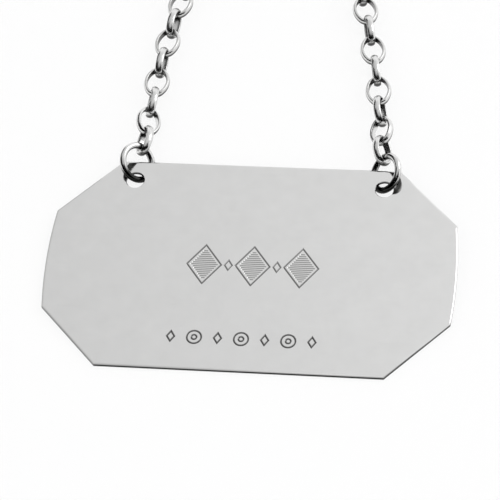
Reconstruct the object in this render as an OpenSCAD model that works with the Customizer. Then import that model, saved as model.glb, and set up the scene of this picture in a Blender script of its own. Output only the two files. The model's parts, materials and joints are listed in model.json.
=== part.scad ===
// Silver wine label: an octagonal name plate hung from a belcher chain by two jump rings.
// The label lies face up on a table, the chain loop laid out behind it.
// +X runs to the right across the plate, +Y from its lower edge towards the chain, +Z up.
// The origin is on the table, under the middle of the whole outline.

/* [Label plate] */
// Width across the two bowed ends, in mm
plate_width = 55; // [46:0.5:64]
// Height from the lower edge to the upper edge
plate_height = 32; // [28:0.5:38]
// Thickness of the sheet
plate_thickness = 0.5; // [0.4:0.05:0.6]
// Length taken off the long edges by each cut corner
cut_along = 8.1; // [6.5:0.1:9]
// Length taken off the ends by each cut corner
cut_up = 8.4; // [6.5:0.1:10]
// How far each end bows outwards at its middle
end_bow = 0.43; // [0.2:0.01:0.8]
// Radius of the polished edge of the sheet
edge_round = 0.15; // [0.08:0.01:0.18]

/* [Ring holes] */
// Diameter of the two ring holes
hole_diameter = 2.45; // [2.3:0.05:3]
// Distance from each hole to the middle of the plate
hole_offset = 17; // [14:0.1:18]
// Distance from the hole centres down from the upper edge
hole_drop = 3.05; // [2.9:0.05:3.2]
// Width of the small bevel around each hole
hole_bevel = 0.08; // [0.04:0.01:0.12]

/* [Jump rings] */
// Wire diameter of the jump rings
ring_wire = 0.9; // [0.7:0.02:0.94]
// Outside diameter of the jump rings
ring_outside = 5.7; // [5.6:0.05:5.9]
// How far the rings are tipped up from flat, in degrees
ring_tip = 46.6; // [42:0.2:50]
// How far the rings are turned towards the front, in degrees
ring_turn = 19; // [15:0.5:23]
// Height of the ring centres over the face of the plate
ring_lift = 0.35; // [0.25:0.01:0.4]
// How much further up its hole the left ring lies
ring_pull = 0.25; // [0:0.05:0.25]
// Clearance between a ring and the first chain link
ring_clearance = 0.15; // [0.13:0.01:0.2]

/* [Chain links] */
// Inside length of a link
link_length = 3.98; // [3.9:0.02:4.1]
// Inside radius of the rounded ends of a link
link_end = 1; // [0.95:0.01:1.1]
// Depth of the half-round wire, inside face to crown
wire_depth = 0.46; // [0.4:0.01:0.5]
// Breadth of the half-round wire
wire_breadth = 1; // [0.84:0.02:1.1]
// Radius on the inner edges of the wire
wire_edge = 0.1; // [0.06:0.01:0.14]
// Clearance where two links bear on each other
link_clearance = 0.06; // [0.05:0.005:0.09]

/* [Chain as laid out] */
// How far the standing links come to lean outwards, in degrees
stand_lean = 18; // [12:1:20]
// How far the flat links come to roll inwards, in degrees
flat_roll = 17; // [12:1:19]
// Roll of the first links, which follow the tipped rings, in degrees
first_roll = 125; // [122:1:127]
// Roll of the second links
second_roll = 32; // [29:1:34]
// Roll of the third links
third_roll = 108; // [106:1:110]
// Inward heading of the first link of each arm, in degrees
first_heading = 2.5; // [1:0.1:3.5]
// Inward bend of each arm per link, over its near half
arm_bend = 1.3; // [1.1:0.05:1.4]
// How suddenly the arms turn in at the far end
far_power = 8; // [7.5:0.5:9]
// Sideways lean of the whole loop, as a share of its length
loop_skew = 0.05; // [0:0.005:0.05]

/* [Hidden] */
$fn = 64;
// Links on each arm, between its ring and the link at the far end
arm_links = 18;
near_links = arm_links / 2;

ring_mid = (ring_outside - ring_wire) / 2;
hole_up = plate_height / 2 - hole_drop;
end_radius = (pow(plate_height / 2 - cut_up, 2) + pow(end_bow, 2)) / (2 * end_bow);
corner_width = plate_width - 2 * end_bow;
cut_angle = atan2(cut_up, cut_along);

// Half-round wire: crown arc, and the centres of the two small edge arcs
edge_side = wire_breadth / 2 - wire_edge;
crown = (pow(wire_depth - wire_edge, 2) + pow(edge_side, 2) - pow(wire_edge, 2))
    / (2 * (wire_depth - 2 * wire_edge));
crown_centre = wire_depth - crown;
crown_meet = crown_centre + crown * (wire_edge - crown_centre) / (crown - wire_edge);
crown_side = crown * edge_side / (crown - wire_edge);
// Oval link: two end arcs and two flatter side arcs that meet on lines sloping three in four
end_centre = link_length / 2 - link_end;
side_centre = end_centre * 4 / 3;
side_radius = link_end + end_centre * 5 / 3;
link_inside = 2 * (side_radius - side_centre);
link_outside = link_inside + 2 * wire_depth;

// Two hooked links bear where the edges of one inner face meet the rounded end of the other
bearing = wire_edge + sqrt(pow(link_end - wire_edge - link_clearance, 2) - pow(edge_side, 2));
pitch = link_length - 2 * (link_end - bearing);

// The upper edge rests on the rings, so the plate leans a little
ring_up = hole_up + ring_mid;
ring_height = ring_mid * sin(ring_tip) + ring_wire / 2;
rest_run = ring_up + plate_height / 2;
rest_rise = ring_lift + plate_thickness;
plate_lean = asin(ring_height / norm([rest_run, rest_rise])) - atan2(rest_rise, rest_run);
ring_away = rest_run * cos(plate_lean) - rest_rise * sin(plate_lean);
ring_axis = [sin(ring_tip) * cos(ring_turn), -sin(ring_tip) * sin(ring_turn), cos(ring_tip)];
chain_height = link_outside / 2;

// Distances below run from the lower edge of the plate, on the left arm, with X counted inwards
function unit(v) = v / norm(v);
function aim(head, rise) = [sin(head) * cos(rise), cos(head) * cos(rise), sin(rise)];
ring_centre = [-hole_offset, ring_away, ring_height];
function ring_far(d) = ring_centre + ring_mid * unit(d - (d * ring_axis) * ring_axis);
function seat(d) = ring_far(d) + d * ((link_length - pitch) / 2 - ring_wire / 2 - ring_clearance);
function sink(d) = asin((chain_height - seat(d)[2]) / (2 * pitch));
function first_aim(rise) = aim(first_heading, rise);
sink_angle = sink(first_aim(sink(first_aim(sink(first_aim(0))))));
function rise(k) = k <= 2 ? sink_angle : 0;
function far_share(k) = pow(max(0, k - near_links) / (arm_links - near_links), far_power);
function heading(k, far_bend) = k > arm_links ? 90 :
    first_heading + arm_bend * (min(k, near_links) - 1) + far_bend * far_share(k);
// Links that are turned or rolled against each other bear sooner, which takes up a little length
function off_square(k) = 90 - abs(roll_of(k) - roll_of(k - 1));
function take_up(k, far_bend) = k == 1 ? 0 :
    (wire_breadth / 2 + link_clearance) * sin(heading(k, far_bend) - heading(k - 1, far_bend))
    + link_inside * pow(sin(off_square(k)), 2);
function step_of(k, far_bend) = pitch - (take_up(k, far_bend) + take_up(k + 1, far_bend)) / 2;
function arm_sum(far_bend, k) = k == 0 ? seat(first_aim(sink_angle)) :
    arm_sum(far_bend, k - 1) + step_of(k, far_bend) * aim(heading(k, far_bend), rise(k));
function open_end(far_bend) = arm_sum(far_bend, arm_links)[0]
    + (pitch - take_up(arm_links + 1, far_bend)) / 2;
// The turn at the far end is the one that closes the loop
function close_loop(lo, hi, turns) =
    let (mid = (lo + hi) / 2)
    turns == 0 ? mid :
    open_end(mid) > 0 ? close_loop(lo, mid, turns - 1) : close_loop(mid, hi, turns - 1);
arm_turn = close_loop(0, 80, 24);
arm = [for (k = [0 : arm_links]) arm_sum(arm_turn, k)];

// The far end of the loop lies a little to the left
loop_start = arm[0][1];
loop_run = arm[arm_links][1] - loop_start;
function skew(y) = -loop_skew * (y - pow(y, 3) / (3 * pow(loop_run, 2)));
function pull(side, k) = side > 0 ? ring_pull * (1 - k / arm_links) : 0;
function bearing_at(side, k) =
    [side * arm[k][0] + skew(arm[k][1] - loop_start), arm[k][1] + pull(side, k), arm[k][2]];
// side is 1 for the left arm and -1 for the right arm
function link_line(side, k) = k > arm_links ?
    [bearing_at(1, arm_links), bearing_at(-1, arm_links)] :
    [bearing_at(side, k - 1), bearing_at(side, k)];
// The arms twist over their first links and lie evenly from there to the far end
function even(k) = (1 - 5 / k) * (1 - pow(k / (arm_links + 1), 6));
function roll_of(k) =
    k == 1 ? first_roll :
    k == 2 ? second_roll :
    k == 3 ? third_roll :
    k > arm_links ? 90 :
    k % 2 == 1 ? 90 - stand_lean * even(k) : -flat_roll * even(k);

// The origin is under the middle of the outline
far_lines = [for (side = [1, -1]) link_line(side, arm_links)];
far_reach = [for (l = far_lines) (l[0][1] + l[1][1]) / 2 + link_end + wire_depth
    + end_centre * abs(unit(l[1] - l[0])[1])];
lower_edge = -max(far_reach) / 2;

colour_plate = [0.86, 0.86, 0.85];
colour_wire = [0.8, 0.8, 0.79];

// Sheet edge: a rectangle with rounded corners, exact arcs
module sheet_section(w) {
    square([w - 2 * edge_round, plate_thickness], center = true);
    square([w, plate_thickness - 2 * edge_round], center = true);
    for (x = [-1, 1]) for (y = [-1, 1])
        translate([x * (w / 2 - edge_round), y * (plate_thickness / 2 - edge_round)])
            circle(edge_round);
}

// A long strip of sheet with rounded edges, running along X
module sheet_strip(w, run) {
    rotate([90, 0, 90]) linear_extrude(run, center = true) sheet_section(w);
}

// The bowed ends are parts of two large discs
module sheet_disc() {
    rotate_extrude($fn = 180) intersection() {
        sheet_section(2 * end_radius);
        translate([0, -plate_thickness]) square([2 * end_radius, 2 * plate_thickness]);
    }
}

module plate_blank() {
    half_end = plate_height / 2 - cut_up;
    cut_gap = corner_width * sin(cut_angle) + 2 * half_end * cos(cut_angle);
    intersection() {
        sheet_strip(plate_height, 2 * plate_width);
        rotate([0, 0, cut_angle]) sheet_strip(cut_gap, 2 * plate_width);
        rotate([0, 0, -cut_angle]) sheet_strip(cut_gap, 2 * plate_width);
        translate([plate_width / 2 - end_radius, 0, 0]) sheet_disc();
        translate([end_radius - plate_width / 2, 0, 0]) sheet_disc();
    }
}

module ring_hole() {
    r = hole_diameter / 2;
    h = plate_thickness / 2;
    cylinder(r = r, h = 4 * h, center = true);
    for (m = [0, 1]) mirror([0, 0, m]) translate([0, 0, h - hole_bevel])
        cylinder(r1 = r, r2 = r + 2 * hole_bevel, h = 2 * hole_bevel);
}

module plate_shape() {
    translate([0, lower_edge, 0]) rotate([plate_lean, 0, 0])
        translate([0, plate_height / 2, plate_thickness / 2]) difference() {
            plate_blank();
            for (x = [-1, 1]) translate([x * hole_offset, hole_up, 0]) ring_hole();
        }
}

// Round wire bent to a closed ring and tipped as it lies
module ring_shape(side) {
    translate([-side * hole_offset, lower_edge + ring_away + pull(side, 0), ring_height])
        rotate([0, side * ring_tip, -side * ring_turn])
            rotate_extrude() translate([ring_mid, 0]) circle(ring_wire / 2);
}

// Section of the chain wire: flat inner face at X = 0, half-round crown outside
module wire_section() {
    intersection() {
        translate([crown_centre, 0]) circle(crown);
        translate([crown_meet, -wire_breadth]) square([wire_depth, 2 * wire_breadth]);
    }
    translate([0, -edge_side]) square([crown_meet, 2 * edge_side]);
    for (m = [0, 1]) mirror([0, m]) {
        translate([wire_edge, edge_side]) circle(wire_edge);
        polygon([[wire_edge, edge_side], [crown_meet, crown_side], [crown_meet, edge_side]]);
    }
}

// Wedge that holds one end arc of a link
module end_wedge() {
    linear_extrude(2 * wire_breadth, center = true) translate([0, end_centre])
        polygon(link_length * [[0, 0], [0.8, 0.6], [-0.8, 0.6]]);
}

// One link, lying flat with its long axis along Y
module link_body() {
    for (m = [0, 1]) rotate([0, 0, 180 * m]) {
        intersection() {
            translate([0, end_centre, 0])
                rotate_extrude(angle = 180) translate([link_end, 0]) wire_section();
            end_wedge();
        }
        difference() {
            translate([-side_centre, 0, 0]) rotate([0, 0, -90])
                rotate_extrude(angle = 180) translate([side_radius, 0]) wire_section();
            end_wedge();
            rotate([0, 0, 180]) end_wedge();
        }
    }
}

module link_shape(side, k) {
    line = link_line(side, k);
    d = unit(line[1] - line[0]);
    translate([0, lower_edge, 0] + (line[0] + line[1]) / 2)
        rotate([asin(d[2]), 0, -atan2(d[0], d[1])])
            rotate([0, side * roll_of(k), 0]) link_body();
}

module label_plate() { color(colour_plate) plate_shape(); }
module left_ring() { color(colour_wire) ring_shape(1); }
module right_ring() { color(colour_wire) ring_shape(-1); }
module left_link_1() { color(colour_wire) link_shape(1, 1); }
module left_link_2() { color(colour_wire) link_shape(1, 2); }
module left_link_3() { color(colour_wire) link_shape(1, 3); }
module left_link_4() { color(colour_wire) link_shape(1, 4); }
module left_link_5() { color(colour_wire) link_shape(1, 5); }
module left_link_6() { color(colour_wire) link_shape(1, 6); }
module left_link_7() { color(colour_wire) link_shape(1, 7); }
module left_link_8() { color(colour_wire) link_shape(1, 8); }
module left_link_9() { color(colour_wire) link_shape(1, 9); }
module left_link_10() { color(colour_wire) link_shape(1, 10); }
module left_link_11() { color(colour_wire) link_shape(1, 11); }
module left_link_12() { color(colour_wire) link_shape(1, 12); }
module left_link_13() { color(colour_wire) link_shape(1, 13); }
module left_link_14() { color(colour_wire) link_shape(1, 14); }
module left_link_15() { color(colour_wire) link_shape(1, 15); }
module left_link_16() { color(colour_wire) link_shape(1, 16); }
module left_link_17() { color(colour_wire) link_shape(1, 17); }
module left_link_18() { color(colour_wire) link_shape(1, 18); }
module far_link() { color(colour_wire) link_shape(1, arm_links + 1); }
module right_link_1() { color(colour_wire) link_shape(-1, 1); }
module right_link_2() { color(colour_wire) link_shape(-1, 2); }
module right_link_3() { color(colour_wire) link_shape(-1, 3); }
module right_link_4() { color(colour_wire) link_shape(-1, 4); }
module right_link_5() { color(colour_wire) link_shape(-1, 5); }
module right_link_6() { color(colour_wire) link_shape(-1, 6); }
module right_link_7() { color(colour_wire) link_shape(-1, 7); }
module right_link_8() { color(colour_wire) link_shape(-1, 8); }
module right_link_9() { color(colour_wire) link_shape(-1, 9); }
module right_link_10() { color(colour_wire) link_shape(-1, 10); }
module right_link_11() { color(colour_wire) link_shape(-1, 11); }
module right_link_12() { color(colour_wire) link_shape(-1, 12); }
module right_link_13() { color(colour_wire) link_shape(-1, 13); }
module right_link_14() { color(colour_wire) link_shape(-1, 14); }
module right_link_15() { color(colour_wire) link_shape(-1, 15); }
module right_link_16() { color(colour_wire) link_shape(-1, 16); }
module right_link_17() { color(colour_wire) link_shape(-1, 17); }
module right_link_18() { color(colour_wire) link_shape(-1, 18); }

label_plate();
left_ring();
right_ring();
left_link_1();
left_link_2();
left_link_3();
left_link_4();
left_link_5();
left_link_6();
left_link_7();
left_link_8();
left_link_9();
left_link_10();
left_link_11();
left_link_12();
left_link_13();
left_link_14();
left_link_15();
left_link_16();
left_link_17();
left_link_18();
far_link();
right_link_1();
right_link_2();
right_link_3();
right_link_4();
right_link_5();
right_link_6();
right_link_7();
right_link_8();
right_link_9();
right_link_10();
right_link_11();
right_link_12();
right_link_13();
right_link_14();
right_link_15();
right_link_16();
right_link_17();
right_link_18();
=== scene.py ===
"""Looks of a silver wine label: an octagonal engraved plate, two jump rings and a belcher chain.

The label lies face up on a pale studio floor. Everything is in metres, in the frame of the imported
solids: +X to the right, +Y from the plate's lower edge towards the chain, +Z up. The plate is
drawn in millimetres on its own axes, u to the right, v up and w out of the face, and then laid in
place.
"""

import json
import math

import bmesh
import bpy
import numpy as np
from mathutils import Euler, Matrix, Vector


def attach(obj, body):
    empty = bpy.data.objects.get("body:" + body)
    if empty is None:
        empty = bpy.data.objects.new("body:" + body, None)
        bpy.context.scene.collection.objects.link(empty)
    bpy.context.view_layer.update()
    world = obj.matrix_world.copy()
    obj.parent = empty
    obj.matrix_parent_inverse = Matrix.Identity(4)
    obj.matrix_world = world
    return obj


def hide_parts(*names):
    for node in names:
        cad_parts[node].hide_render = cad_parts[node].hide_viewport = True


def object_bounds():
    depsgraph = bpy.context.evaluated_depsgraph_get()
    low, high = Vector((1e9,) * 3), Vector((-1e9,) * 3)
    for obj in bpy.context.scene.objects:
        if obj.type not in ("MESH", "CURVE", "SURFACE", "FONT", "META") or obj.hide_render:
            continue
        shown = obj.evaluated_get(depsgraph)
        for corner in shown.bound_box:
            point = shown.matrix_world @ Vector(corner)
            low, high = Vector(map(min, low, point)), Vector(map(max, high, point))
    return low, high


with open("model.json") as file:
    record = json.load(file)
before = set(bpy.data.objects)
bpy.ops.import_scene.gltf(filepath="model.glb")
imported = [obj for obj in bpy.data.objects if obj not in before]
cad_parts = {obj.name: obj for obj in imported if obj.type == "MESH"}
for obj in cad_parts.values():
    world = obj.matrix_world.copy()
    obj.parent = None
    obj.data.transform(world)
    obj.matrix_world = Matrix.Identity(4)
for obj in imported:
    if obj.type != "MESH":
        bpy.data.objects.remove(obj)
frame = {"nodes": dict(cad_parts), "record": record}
cad_low, cad_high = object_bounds()

MM = 0.001

# Plate, in mm: an octagon with bowed ends. Its rim is eased by polishing, and BACK_RIM is the size
# of the rim of its back as a share of the rim of its face.
PLATE_HALF = (27.5, 16)
PLATE_THICKNESS = 0.5
END_BOW = 0.43
CUT = (8.1, 8.4)
END_STEPS = 24
RIM_WIDTH = 0.32
RIM_DROP = 0.15
RIM_STEPS = 8
BACK_RIM = 0.35
HOLE_RADIUS = 1.225
HOLE_OFFSET = 17
HOLE_DROP = 3.05
HOLE_BEVEL = 0.08
HOLE_STEPS = 64

# Engraving on the face, in mm: a row of hatched lozenges, and a row of plain punches under it.
# A cutter stands out of the face by CUTTER_OVER times its depth.
GROOVE_WIDTH = 0.24
GROOVE_DEPTH = 0.11
LOZENGE_COUNT = 3
LOZENGE_MIDDLE = 0.4
LOZENGE_STEP = 6.5
LOZENGE_HALF = (2.3, 3.0)
SPACER_HALF = (0.5, 0.75)
HATCH_STEP = 0.3
HATCH_WIDTH = 0.17
HATCH_DEPTH = 0.06
HATCH_MARGIN = 0.45
PUNCH_COUNT = 7
PUNCH_LINE = -11.2
PUNCH_STEP = 3.1
PUNCH_WIDTH = 0.26
PUNCH_DEPTH = 0.14
PUNCH_RADII = (0.95, 0.34)
PUNCH_LOZENGE = (0.5, 0.75)
PUNCH_STEPS = 28
CUTTER_OVER = 0.25
SHARP_ANGLE = 25

# Chain link, in mm on its own axes: flattened wire with a low crown, bent to an oval of four arcs.
# The centres of two neighbouring arcs and of the link make a triangle with sides as 3, 4 and 5.
LINK_LENGTH = 3.98
LINK_END = 1
RISE, RUN, SLANT = 3, 4, 5
LINK_SLOPE = math.degrees(math.atan2(RISE, RUN))
WIRE_DEPTH = 0.46
WIRE_BREADTH = 1
INNER_EASE = 0.1
CROWN_RADIUS = 0.72
CROWN_EASE = 0.12
END_ARC_STEPS = 24
SIDE_ARC_STEPS = 20
EASE_STEPS = 6
CROWN_STEPS = 8

# Colours of silver: polished sheet, polished wire, and the near-black of tarnish and painted shade
# in crevices, on the sides, underneath and where the rings sit
PLATE_COLOUR = (0.93, 0.93, 0.925)
WIRE_COLOUR = (0.8, 0.8, 0.795)
TARNISH_AND_SHADE_COLOUR = (0.012, 0.012, 0.011)

# Finishes of silver, with their painted shade: colour, range of roughness, depth of the dents and
# of the hairlines in mm, tarnish and painted shade in the deepest crevice, how far a crevice
# reaches in mm, and the painted shade on the sides and underneath: the upward slopes between which
# it fades out, and how bright they are below that.
PLATE_FINISH_AND_SHADE = {
    "colour": PLATE_COLOUR, "roughness": (0.05, 0.1), "dents": 0.00025, "hairlines": 0.0002,
    "crevice": 0.8, "reach": 0.4, "side_shade": (0.35, 0.9, 0.0),
}
WIRE_FINISH_AND_SHADE = {
    "colour": WIRE_COLOUR, "roughness": (0.18, 0.26), "dents": 0.0015, "hairlines": 0.0003,
    "crevice": 0.55, "reach": 0.5, "side_shade": (-0.05, 0.45, 0.06),
}
RING_FINISH_AND_SHADE = {
    "colour": WIRE_COLOUR, "roughness": (0.14, 0.2), "dents": 0.001, "hairlines": 0.0003,
    "crevice": 0.97, "reach": 2.0, "side_shade": (-0.05, 0.5, 0.04),
}

# How open a place is when painted crevice shade gives way to bright metal, and the rays that feel
# for it
OPEN_RANGE = (0.35, 0.9)
OPEN_SAMPLES = 8

# Painted shade where a ring sits in the plate: how bright the ring is there, and from which
# distance to which, in mm, the shade fades out
SEAT_SHADED_LEVEL = 0.04
SEAT_SHADE_FADE = (1.7, 3.0)

# Clouds of wear and dents, as noise on places in mm; the clouds' range shifts the roughness, and
# how clean the metal is
CLOUD_NOISE = {"Scale": 0.45, "Detail": 4.0, "Roughness": 0.6}
CLOUD_RANGE = (0.3, 0.7)
CLOUD_CLEAN = (0.96, 1.0)
DENT_NOISE = {"Scale": 0.9, "Detail": 2.0, "Roughness": 0.4}

# Sets of hairlines: turn in degrees, fineness, and the height of noise from which it is a hairline
HAIRLINES = (((8, 0, 24), 0.8, 0.66), ((0, 11, -58), 1.1, 0.68), ((5, 7, 81), 0.6, 0.67))
HAIRLINE_NOISE = {"Scale": 1.0, "Detail": 1.0, "Roughness": 0.5}
HAIRLINE_SCALE = (0.25, 9, 9)
HAIRLINE_EDGE = 0.07
HAIRLINE_ROUGH = 0.08

# Camera, as a place seen from the middle of the plate's face, with its turn in degrees
CAMERA_FROM_PLATE = Vector((41.07, -183.35, 273.59)) * MM
CAMERA_TURN = (34.583, 4.535, 5.976)
CAMERA_LENS = 180
CAMERA_SENSOR = 36
CAMERA_CLIP = (0.01, 20)

# Studio light, as radiance, where 1 is white
WORLD_LEVEL = 1.0
SOFTBOX_LEVEL = 1.6
CARD_LEVEL = (0.575, 0.81)
SCREEN_LEVEL = 0.38
UPPER_LEVEL = 0.55
RIGHT_LEVEL = 0.72
BACK_LEVEL = 0.6

# Floor: how far it reaches, its gap under the label, its colour, and how clear it is to the camera
FLOOR_HALF = 3
FLOOR_GAP = 0.02 * MM
FLOOR_COLOUR = 0.97
FLOOR_CLEAR = 0.88

# Card that the plate reflects to the camera; its level rises over a share of its width
CARD_AWAY = 0.5
CARD_SPAN = (-1.2, 0.32)
CARD_HEIGHT = 0.55
CARD_FADE = (0.64, 0.91)

SOFTBOX_PLACE = Vector((0.24, 0.13, 0.2))
SOFTBOX_SIZE = (0.18, 0.22)

# Curved screens round the label: radius, azimuths from the camera's side, and rows of elevation,
# both in degrees
FRONT_SCREEN = (0.4, (-100, 70), (3, 18, 33, 48, 58))
UPPER_SCREEN = (0.4, (-100, 70), (58, 69, 80))
LEFT_SCREEN = (0.42, (-150, -80), (2, 12, 22, 32))
RIGHT_SCREEN = (0.45, (70, 150), (8, 25, 40, 55, 70))
RIGHT_GLOW = (0.44, (70, 150), (8, 25))
BACK_SCREEN = (0.45, (165, 210), (4, 16, 28))
BACK_GLOW = (0.44, (165, 210), (4, 16, 28))
SCREEN_STEPS = 48

# The plate's own axes, from the back face that the record states
back_face = next(m for m in frame["record"]["mounts"] if m["name"] == "back_face")
plate_normal = -Vector(back_face["axis"])
plate_right = Vector((1, 0, 0))
plate_up = plate_normal.cross(plate_right)
plate_centre = Vector(back_face["pos_m"]) + PLATE_THICKNESS * MM * plate_normal


def put(name, data):
    """A new object in the scene."""
    obj = bpy.data.objects.new(name, data)
    bpy.context.scene.collection.objects.link(obj)
    return obj


def mesh_of(name, shape):
    """The mesh of a bmesh, which is freed."""
    mesh = bpy.data.meshes.new(name)
    shape.to_mesh(mesh)
    shape.free()
    return mesh


# Nodes of a material

def add(tree, kind, inputs=None, **settings):
    """A shader node with some settings and input values; an input that is a socket is linked."""
    node = tree.nodes.new(kind)
    for name, value in settings.items():
        setattr(node, name, value)
    for name, value in (inputs or {}).items():
        if isinstance(value, bpy.types.NodeSocket):
            tree.links.new(value, node.inputs[name])
        else:
            node.inputs[name].default_value = value
    return node


def new_material(name):
    material = bpy.data.materials.new(name)
    material.use_nodes = True
    material.node_tree.nodes.clear()
    return material, material.node_tree


def math_node(tree, operation, a, b):
    return add(tree, "ShaderNodeMath", {0: a, 1: b}, operation=operation).outputs[0]


def vector_node(tree, operation, inputs):
    return add(tree, "ShaderNodeVectorMath", inputs, operation=operation).outputs


def remap(tree, value, low, high, to_low, to_high, kind="LINEAR"):
    return add(tree, "ShaderNodeMapRange", {
        "Value": value, "From Min": low, "From Max": high, "To Min": to_low, "To Max": to_high,
    }, interpolation_type=kind).outputs["Result"]


def noise_node(tree, place, values):
    return add(tree, "ShaderNodeTexNoise", {"Vector": place, **values}).outputs["Fac"]


def scratches(tree, place, turn, fineness, keep):
    """Fine straight hairlines: noise drawn out along one direction, only its crests kept."""
    turned = add(tree, "ShaderNodeMapping", {
        "Vector": place, "Rotation": tuple(math.radians(t) for t in turn),
        "Scale": tuple(s * fineness for s in HAIRLINE_SCALE),
    }).outputs["Vector"]
    noise = noise_node(tree, turned, HAIRLINE_NOISE)
    return remap(tree, noise, keep, keep + HAIRLINE_EDGE, 0.0, 1.0)


def silver(name, colour, roughness, dents, hairlines, crevice, reach, side_shade, seat=None):
    """Polished silver: hand-worked dents, hairline scratches, random clouds of tone, and a
    near-black mixed in as painted shade: in the crevices and between parts (with some real
    tarnish), round the sides and underneath, and where a ring sits in the plate.
    The seat is given for the ring on the right; the ring on the left mirrors it."""
    material, tree = new_material(name)
    coordinates = add(tree, "ShaderNodeTexCoord").outputs
    place = vector_node(tree, "SCALE", {0: coordinates["Object"], "Scale": 1 / MM})["Vector"]

    cloud = noise_node(tree, place, CLOUD_NOISE)
    lines, *others = [scratches(tree, place, *kind) for kind in HAIRLINES]
    for other in others:
        lines = math_node(tree, "MAXIMUM", lines, other)
    rough = add(tree, "ShaderNodeMath", {
        0: lines, 1: HAIRLINE_ROUGH, 2: remap(tree, cloud, *CLOUD_RANGE, *roughness),
    }, operation="MULTIPLY_ADD")

    # Painted shade, with some real tarnish: ambient occlusion, which also feels the floor and the
    # other parts, darkens crevices and the places between parts
    hollow = add(
        tree, "ShaderNodeAmbientOcclusion", {"Distance": reach * MM}, samples=OPEN_SAMPLES
    )
    clean_and_unshaded = remap(tree, hollow.outputs["AO"], *OPEN_RANGE, 1 - crevice, 1.0)
    # Painted shade: sides and undersides darken by how far their normal turns from up, in the
    # object's own axes
    upward = add(tree, "ShaderNodeSeparateXYZ", {"Vector": coordinates["Normal"]}).outputs["Z"]
    clean_and_unshaded = math_node(tree, "MULTIPLY", clean_and_unshaded, remap(tree, upward, *side_shade, 1.0, "SMOOTHSTEP"))
    clean_and_unshaded = math_node(
        tree, "MULTIPLY", clean_and_unshaded, remap(tree, cloud, *CLOUD_RANGE, *CLOUD_CLEAN)
    )
    # Painted shade: the rings darken where they pass through the plate's holes
    if seat:
        either = vector_node(tree, "ABSOLUTE", {0: place})["Vector"]
        away = vector_node(tree, "DISTANCE", {0: either, 1: seat})["Value"]
        away = remap(tree, away, *SEAT_SHADE_FADE, SEAT_SHADED_LEVEL, 1.0, "SMOOTHSTEP")
        clean_and_unshaded = math_node(tree, "MULTIPLY", clean_and_unshaded, away)
    tint = add(tree, "ShaderNodeMix", {
        "Factor": clean_and_unshaded, "A": (*TARNISH_AND_SHADE_COLOUR, 1), "B": (*colour, 1),
    }, data_type="RGBA")

    dented = add(tree, "ShaderNodeBump", {
        "Height": noise_node(tree, place, DENT_NOISE), "Strength": 1.0, "Distance": dents * MM,
    })
    scored = add(tree, "ShaderNodeBump", {
        "Height": lines, "Strength": 1.0, "Distance": -hairlines * MM,
        "Normal": dented.outputs[0],
    })
    shader = add(tree, "ShaderNodeBsdfPrincipled", {
        "Base Color": tint.outputs["Result"], "Metallic": 1.0, "Roughness": rough.outputs[0],
        "Normal": scored.outputs[0],
    })
    add(tree, "ShaderNodeOutputMaterial", {"Surface": shader.outputs[0]})
    return material


# Engraved plate

def plate_outline():
    """Corners of the octagon, anticlockwise, with the two ends bowed out."""
    half_end = PLATE_HALF[1] - CUT[1]
    corner = PLATE_HALF[0] - END_BOW
    radius = (half_end ** 2 + END_BOW ** 2) / (2 * END_BOW)
    reach = math.asin(half_end / radius)
    turns = [reach * (2 * i / END_STEPS - 1) for i in range(END_STEPS + 1)]
    end = [
        (PLATE_HALF[0] - radius + radius * math.cos(t), radius * math.sin(t)) for t in turns
    ]
    right = [(corner - CUT[0], -PLATE_HALF[1]), *end, (corner - CUT[0], PLATE_HALF[1])]
    return [Vector(p) for p in right] + [-Vector(p) for p in right]


def mitres(corners):
    """For each corner of an anticlockwise outline, the step that moves both its sides out by 1."""
    steps = []
    for i, here in enumerate(corners):
        before, after = corners[i - 1], corners[(i + 1) % len(corners)]
        runs = [(here - before).normalized(), (after - here).normalized()]
        outs = [Vector((run.y, -run.x)) for run in runs]
        middle = (outs[0] + outs[1]).normalized()
        steps.append(middle / middle.dot(outs[0]))
    return steps


def loft(shape, rows, closed, smooth):
    """Quads between rows of vertices that each run round.
    The last row meets the first if the loft is closed."""
    count = len(rows[0])
    for i in range(len(rows) if closed else len(rows) - 1):
        here, there = rows[i], rows[(i + 1) % len(rows)]
        for j in range(count):
            k = (j + 1) % count
            face = shape.faces.new((here[j], here[k], there[k], there[j]))
            face.smooth = smooth


def plate_blank():
    """The plate before it is cut, with its rim eased by quarters of an ellipse."""
    shape = bmesh.new()
    corners = plate_outline()
    steps = mitres(corners)
    turns = [math.pi / 2 * i / RIM_STEPS for i in range(RIM_STEPS + 1)]
    top = [(RIM_WIDTH * (1 - math.cos(t)), -RIM_DROP * (1 - math.sin(t))) for t in turns]
    bottom = [
        (BACK_RIM * inset, -PLATE_THICKNESS - BACK_RIM * w) for inset, w in reversed(top)
    ]
    rows = []
    for inset, w in bottom + top:
        rows.append([shape.verts.new((*(c - inset * s), w)) for c, s in zip(corners, steps)])
    loft(shape, rows, closed=False, smooth=True)
    shape.faces.new(rows[0])
    shape.faces.new(rows[-1])
    bmesh.ops.recalc_face_normals(shape, faces=shape.faces)
    return mesh_of("engraved_plate", shape)


def ring_outline(u, v, radius, steps):
    turns = [2 * math.pi * i / steps for i in range(steps)]
    return [Vector((u + radius * math.cos(t), v + radius * math.sin(t))) for t in turns]


def lozenge(u, v, half):
    corners = ((half[0], 0), (0, half[1]), (-half[0], 0), (0, -half[1]))
    return [Vector((u + a, v + b)) for a, b in corners]


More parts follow.
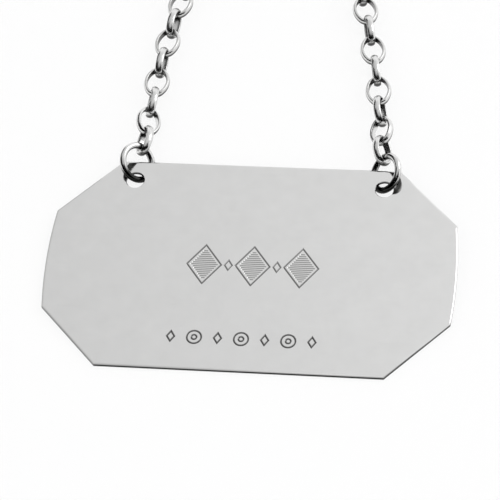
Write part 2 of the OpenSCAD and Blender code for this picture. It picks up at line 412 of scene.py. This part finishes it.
def hole(cutter, u, v):
    """A round hole, bevelled on both faces; its cutter stands out of them by twice the bevel."""
    over = 2 * HOLE_BEVEL
    profile = [
        (HOLE_RADIUS + HOLE_BEVEL + over, over),
        (HOLE_RADIUS, -HOLE_BEVEL),
        (HOLE_RADIUS, HOLE_BEVEL - PLATE_THICKNESS),
        (HOLE_RADIUS + HOLE_BEVEL + over, -PLATE_THICKNESS - over),
    ]
    rows = []
    for radius, w in profile:
        outline = ring_outline(u, v, radius, HOLE_STEPS)
        rows.append([cutter.verts.new((*p, w)) for p in outline])
    loft(cutter, rows, closed=False, smooth=True)
    cutter.faces.new(rows[0])
    cutter.faces.new(rows[-1])


def groove_loop(cutter, corners, width, depth):
    """A closed V groove along an outline, its width taken on the face."""
    half = width / 2 * (1 + CUTTER_OVER)
    rows = []
    for corner, step in zip(corners, mitres(corners)):
        rows.append([
            cutter.verts.new((*(corner + half * step), CUTTER_OVER * depth)),
            cutter.verts.new((*(corner - half * step), CUTTER_OVER * depth)),
            cutter.verts.new((*corner, -depth)),
        ])
    loft(cutter, rows, closed=True, smooth=False)


def groove_line(cutter, start, end, width, depth):
    """A straight V groove that runs out to the face at both ends, its width taken on the face."""
    half = width / 2 * (1 + CUTTER_OVER)
    run = (end - start).normalized() * half
    side = Vector((-run.y, run.x))
    rows = []
    for point, inwards in ((start, run), (end, -run)):
        rows.append([
            cutter.verts.new((*(point + side), CUTTER_OVER * depth)),
            cutter.verts.new((*(point - side), CUTTER_OVER * depth)),
            cutter.verts.new((*(point + inwards), -depth)),
        ])
    loft(cutter, rows, closed=False, smooth=False)
    cutter.faces.new(rows[0])
    cutter.faces.new(rows[1])


def hatch(cutter, u, v, half):
    """Level hatching inside a lozenge."""
    inside = [h - HATCH_MARGIN for h in half]
    count = int(inside[1] / HATCH_STEP)
    for i in range(-count, count + 1):
        rise = i * HATCH_STEP
        reach = inside[0] * (1 - abs(rise) / inside[1])
        if reach > HATCH_WIDTH:
            ends = Vector((u - reach, v + rise)), Vector((u + reach, v + rise))
            groove_line(cutter, *ends, HATCH_WIDTH, HATCH_DEPTH)


def spaced(count, step):
    """Places in an even row about 0."""
    return [(i - (count - 1) / 2) * step for i in range(count)]


def engraving():
    """Everything that is cut out of the plate: holes, lozenges and punches."""
    cutter = bmesh.new()
    for side in (-1, 1):
        hole(cutter, side * HOLE_OFFSET, PLATE_HALF[1] - HOLE_DROP)
    for across in spaced(LOZENGE_COUNT, LOZENGE_STEP):
        u = LOZENGE_MIDDLE + across
        groove_loop(cutter, lozenge(u, 0, LOZENGE_HALF), GROOVE_WIDTH, GROOVE_DEPTH)
        hatch(cutter, u, 0, LOZENGE_HALF)
    for across in spaced(LOZENGE_COUNT - 1, LOZENGE_STEP):
        u = LOZENGE_MIDDLE + across
        groove_loop(cutter, lozenge(u, 0, SPACER_HALF), GROOVE_WIDTH, GROOVE_DEPTH)
    for i, u in enumerate(spaced(PUNCH_COUNT, PUNCH_STEP)):
        if i % 2:
            outlines = [ring_outline(u, PUNCH_LINE, r, PUNCH_STEPS) for r in PUNCH_RADII]
        else:
            outlines = [lozenge(u, PUNCH_LINE, PUNCH_LOZENGE)]
        for outline in outlines:
            groove_loop(cutter, outline, PUNCH_WIDTH, PUNCH_DEPTH)
    bmesh.ops.recalc_face_normals(cutter, faces=cutter.faces)
    return put("engraving", mesh_of("engraving", cutter))


def engraved_plate(material):
    """The plate, cut on its own axes and then laid where its solid lies."""
    plate = put("engraved_plate", plate_blank())
    cutter = engraving()
    cut = plate.modifiers.new("engrave", "BOOLEAN")
    cut.operation = "DIFFERENCE"
    cut.solver = "MANIFOLD"
    cut.object = cutter
    graph = bpy.context.evaluated_depsgraph_get()
    plate.data = bpy.data.meshes.new_from_object(plate.evaluated_get(graph))
    plate.modifiers.clear()
    bpy.data.objects.remove(cutter)

    axes = Matrix((plate_right, plate_up, plate_normal)).transposed() * MM
    plate.data.transform(Matrix.Translation(plate_centre) @ axes.to_4x4())
    plate.data.materials.clear()
    plate.data.materials.append(material)
    plate.data.set_sharp_from_angle(angle=math.radians(SHARP_ANGLE))
    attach(plate, "label_plate")
    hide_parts("label_plate")
    return plate


# Chain links

def arc(centre, radius, start, end, steps):
    turns = [math.radians(start + (end - start) * i / steps) for i in range(steps + 1)]
    return [Vector(centre) + radius * Vector((math.cos(t), math.sin(t))) for t in turns]


def wire_section():
    """The wire's section, as depth and breadth: flat inside, a low crown outside, edges eased."""
    half = WIRE_BREADTH / 2
    crown_centre = WIRE_DEPTH - CROWN_RADIUS
    ease_side = half - CROWN_EASE
    ease_run = CROWN_RADIUS - CROWN_EASE
    ease_in = crown_centre + math.sqrt(ease_run ** 2 - ease_side ** 2)
    meet = math.degrees(math.asin(ease_side / ease_run))
    upper = [
        *arc((crown_centre, 0), CROWN_RADIUS, 0, meet, CROWN_STEPS),
        *arc((ease_in, ease_side), CROWN_EASE, meet, 90, EASE_STEPS)[1:],
        *arc((INNER_EASE, half - INNER_EASE), INNER_EASE, 90, 180, EASE_STEPS),
    ]
    return upper + [Vector((p.x, -p.y)) for p in reversed(upper[1:])]


def link_blank():
    """One link: the wire swept round two flat side arcs and two tight end arcs."""
    end_centre = LINK_LENGTH / 2 - LINK_END
    side_centre = end_centre * RUN / RISE
    side_radius = LINK_END + end_centre * SLANT / RISE
    section = wire_section()
    shape = bmesh.new()
    rows = []
    for side in (1, -1):
        for centre, radius, start, end, steps in (
            ((-side_centre, 0), side_radius, -LINK_SLOPE, LINK_SLOPE, SIDE_ARC_STEPS),
            ((0, end_centre), LINK_END, LINK_SLOPE, 180 - LINK_SLOPE, END_ARC_STEPS),
        ):
            for point in arc(centre, radius, start, end, steps)[:-1]:
                out = (point - Vector(centre)).normalized()
                rows.append([
                    shape.verts.new((*(side * (point + depth * out)), breadth))
                    for depth, breadth in section
                ])
    loft(shape, rows, closed=True, smooth=True)
    bmesh.ops.recalc_face_normals(shape, faces=shape.faces)
    return mesh_of("link_blank", shape)


def link_place(solid):
    """From a link's own axes to where its solid lies, read from how the solid's surface is
    spread: least along the axis of the link's eye, and most along its length."""
    solid.calc_loop_triangles()
    points = np.array([v.co[:] for v in solid.vertices])
    corners = points[np.array([t.vertices[:] for t in solid.loop_triangles])]
    sides = corners[:, 1] - corners[:, 0], corners[:, 2] - corners[:, 0]
    area = np.linalg.norm(np.cross(*sides), axis=1)
    middle = np.average(corners.mean(axis=1), axis=0, weights=area)
    arms = corners - middle
    total = arms.sum(axis=1)
    spread = np.einsum("n,ni,nj", area, total, total)
    spread = spread + np.einsum("n,nki,nkj", area, arms, arms)
    width, length = np.linalg.eigh(spread)[1].T[1:]
    axes = np.column_stack((width, length, np.cross(width, length)))
    return Matrix.Translation(middle) @ (Matrix(axes.tolist()) * MM).to_4x4()


def chain_links(material):
    """A bent wire in place of the solid of each link."""
    blank = link_blank()
    blank.materials.append(material)
    for name, node in frame["nodes"].items():
        if "_link" in name:
            mesh = blank.copy()
            mesh.transform(link_place(node.data))
            wire = put(name + "_wire", mesh)
            wire.modifiers.new("even_faces", "WEIGHTED_NORMAL")
            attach(wire, name)
            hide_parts(name)


def silver_parts():
    """All pieces of the label; the rings keep their solids. Returns the plate."""
    hole_up = (PLATE_HALF[1] - HOLE_DROP) * plate_up - PLATE_THICKNESS / 2 * plate_normal
    seat = plate_centre / MM + HOLE_OFFSET * plate_right + hole_up
    plate_silver = silver("plate_silver", **PLATE_FINISH_AND_SHADE)
    wire_silver = silver("wire_silver", **WIRE_FINISH_AND_SHADE)
    ring_silver = silver("ring_silver", **RING_FINISH_AND_SHADE, seat=[abs(c) for c in seat])
    plate = engraved_plate(plate_silver)
    chain_links(wire_silver)
    for name in ("left_ring", "right_ring"):
        ring = frame["nodes"][name].data
        ring.materials.clear()
        ring.materials.append(ring_silver)
    return plate


# Stage

def stage_plane(name, place, facing, span, height, material):
    """A flat sheet that faces one way, with its left and right ends given as its span."""
    left, right = span
    top = height / 2
    mesh = bpy.data.meshes.new(name)
    mesh.from_pydata(
        [(left, -top, 0), (right, -top, 0), (right, top, 0), (left, top, 0)], [], [(0, 1, 2, 3)]
    )
    mesh.materials.append(material)
    plane = put(name, mesh)
    plane.location = place
    plane.rotation_mode = "QUATERNION"
    plane.rotation_quaternion = facing.to_track_quat("Z", "Y")
    return plane


def seen_rays(tree):
    """1 on rays from the camera, or from it by way of metal or glass."""
    rays = add(tree, "ShaderNodeLightPath").outputs
    seen = math_node(tree, "MAXIMUM", rays["Is Camera Ray"], rays["Is Glossy Ray"])
    return math_node(tree, "MAXIMUM", seen, rays["Is Transmission Ray"])


def floor_material():
    """White sheet that keeps a soft shadow, and is mostly clear to the camera, so that the white
    world and a chain that hangs below the table line are seen through it."""
    material, tree = new_material("white_floor")
    paper = add(tree, "ShaderNodeBsdfDiffuse", {"Color": (FLOOR_COLOUR,) * 3 + (1,)})
    clear = add(tree, "ShaderNodeBsdfTransparent")
    share = math_node(tree, "MULTIPLY", seen_rays(tree), FLOOR_CLEAR)
    mixed = add(
        tree, "ShaderNodeMixShader", {0: share, 1: paper.outputs[0], 2: clear.outputs[0]}
    )
    add(tree, "ShaderNodeOutputMaterial", {"Surface": mixed.outputs[0]})
    return material


def card_material():
    """A lit grey reflector, brighter to the right."""
    material, tree = new_material("grey_card")
    place = add(tree, "ShaderNodeTexCoord").outputs["Generated"]
    across = add(tree, "ShaderNodeSeparateXYZ", {"Vector": place}).outputs["X"]
    level = remap(tree, across, *CARD_FADE, *CARD_LEVEL)
    glow = add(tree, "ShaderNodeEmission", {"Strength": level})
    add(tree, "ShaderNodeOutputMaterial", {"Surface": glow.outputs[0]})
    return material


def screen_material(name, level, clear=False):
    """A screen that glows; a clear one adds its light to what lies behind it."""
    material, tree = new_material(name)
    glow = add(tree, "ShaderNodeEmission", {"Strength": level})
    if clear:
        behind = add(tree, "ShaderNodeBsdfTransparent")
        glow = add(tree, "ShaderNodeAddShader", {0: glow.outputs[0], 1: behind.outputs[0]})
    add(tree, "ShaderNodeOutputMaterial", {"Surface": glow.outputs[0]})
    return material


def screen(name, centre, form, material, lit=None):
    """A curved screen that only polished metal sees, and that shines on the lit objects alone."""
    radius, (start, end), elevations = form
    shape = bmesh.new()
    rows = []
    for i in range(SCREEN_STEPS + 1):
        a = math.radians(start + (end - start) * i / SCREEN_STEPS)
        row = []
        for e in (math.radians(t) for t in elevations):
            way = Vector((math.sin(a) * math.cos(e), -math.cos(a) * math.cos(e), math.sin(e)))
            row.append(shape.verts.new(centre + radius * way))
        rows.append(row)
    for here, there in zip(rows, rows[1:]):
        for j in range(len(elevations) - 1):
            shape.faces.new((here[j], there[j], there[j + 1], here[j + 1]))
    mesh = mesh_of(name, shape)
    mesh.materials.append(material)
    cloth = put(name, mesh)
    cloth.visible_camera = False
    cloth.visible_diffuse = False
    cloth.visible_shadow = False
    cloth.light_linking.receiver_collection = lit


def linked_light(name, plate, state):
    """Light linking that takes in the plate alone, or leaves out the plate alone."""
    lit = bpy.data.collections.new(name)
    lit.objects.link(plate)
    lit.collection_objects[0].light_linking.link_state = state
    return lit


def make_screens(centre, plate):
    """Screens all round, which are grey in the plate. In the wire they are black in front and to
    the left, grey above, and white behind and low on the right."""
    on_plate = linked_light("plate", plate, "INCLUDE")
    off_plate = linked_light("all_but_plate", plate, "EXCLUDE")
    grey = screen_material("grey_screen", SCREEN_LEVEL)
    upper = screen_material("upper_screen", UPPER_LEVEL)
    screen("front_screen", centre, FRONT_SCREEN, grey, on_plate)
    screen("upper_screen", centre, UPPER_SCREEN, upper)
    screen("left_screen", centre, LEFT_SCREEN, grey, on_plate)
    for side, form, glow_form, level in (
        ("right", RIGHT_SCREEN, RIGHT_GLOW, RIGHT_LEVEL),
        ("back", BACK_SCREEN, BACK_GLOW, BACK_LEVEL),
    ):
        pale = screen_material(side + "_screen", level)
        glow = screen_material(side + "_glow", 1 - level, clear=True)
        screen(side + "_screen", centre, form, pale)
        screen(side + "_glow", centre, glow_form, glow, off_plate)


def softbox(name, place, target, size, radiance):
    """An oblong lamp that faces a target and is hidden from the camera."""
    light = bpy.data.lights.new(name, "AREA")
    light.shape = "RECTANGLE"
    light.size, light.size_y = size
    light.energy = radiance * math.pi * size[0] * size[1]
    box = put(name, light)
    box.location = place
    box.rotation_mode = "QUATERNION"
    box.rotation_quaternion = (target - place).to_track_quat("-Z", "Y")
    box.visible_camera = False


def make_world():
    world = bpy.data.worlds.new("studio")
    bpy.context.scene.world = world
    world.use_nodes = True
    tree = world.node_tree
    tree.nodes.clear()
    light = add(tree, "ShaderNodeBackground", {"Color": (1, 1, 1, 1), "Strength": WORLD_LEVEL})
    add(tree, "ShaderNodeOutputWorld", {"Surface": light.outputs[0]})


def make_camera():
    data = bpy.data.cameras.new("camera")
    data.lens = CAMERA_LENS
    data.sensor_width = CAMERA_SENSOR
    data.sensor_fit = "HORIZONTAL"
    data.clip_start, data.clip_end = CAMERA_CLIP
    camera = put("camera", data)
    camera.location = plate_centre + CAMERA_FROM_PLATE
    camera.rotation_euler = Euler([math.radians(t) for t in CAMERA_TURN], "XYZ")
    bpy.context.scene.camera = camera
    return camera


def make_stage(camera, plate):
    """Floor, screens and softbox, and a card where the plate mirrors the camera's view."""
    under = Vector((0, 0, cad_low.z - FLOOR_GAP))
    floor_span = (-FLOOR_HALF, FLOOR_HALF)
    stage_plane(
        "floor", under, Vector((0, 0, 1)), floor_span, 2 * FLOOR_HALF, floor_material()
    )
    view = camera.rotation_euler.to_matrix() @ Vector((0, 0, -1))
    mirrored = view - 2 * view.dot(plate_normal) * plate_normal
    card_place = plate_centre + CARD_AWAY * mirrored
    card = stage_plane(
        "grey_card", card_place, -mirrored, CARD_SPAN, CARD_HEIGHT, card_material()
    )
    card.visible_camera = False
    middle = (cad_low + cad_high) / 2
    make_screens(middle, plate)
    softbox("right_softbox", SOFTBOX_PLACE, middle, SOFTBOX_SIZE, SOFTBOX_LEVEL)


make_world()
camera = make_camera()
plate = silver_parts()
make_stage(camera, plate)
bpy.context.scene.view_settings.view_transform = "Standard"
